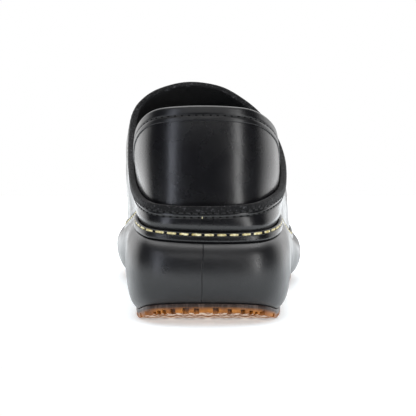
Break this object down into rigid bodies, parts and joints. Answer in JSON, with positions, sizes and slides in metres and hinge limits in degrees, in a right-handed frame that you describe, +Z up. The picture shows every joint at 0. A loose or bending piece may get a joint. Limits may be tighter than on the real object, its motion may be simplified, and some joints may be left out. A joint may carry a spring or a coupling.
{
  "type": "closed-back kitchen clog",
  "caption": "Closed-back leather work clog for the right foot, with a padded heel cup, a leather-covered platform and a lugged rubber outsole.",
  "frame": {"origin": "centre of the shoe's bounding box, on the floor under the sole", "axes": "+Y from the heel to the toe, +X to the outer (lateral) side, +Z up"},
  "size_m": [0.1038, 0.268, 0.1102],
  "materials": {
    "honey_rubber": "satin",
    "black_cover": "polished smooth leather",
    "insole_leather": "matt",
    "black_leather": "polished smooth leather",
    "black_rand": "satin",
    "counter_leather": "polished smooth leather",
    "binding_leather": "polished smooth leather"
  },
  "bodies": {
    "root": {"outsole": "honey_rubber", "midsole": "black_cover", "insole": "insole_leather", "upper": "black_leather", "welt": "black_rand", "heel_counter": "counter_leather", "counter_binding": "binding_leather"}
  },
  "joints": []
}
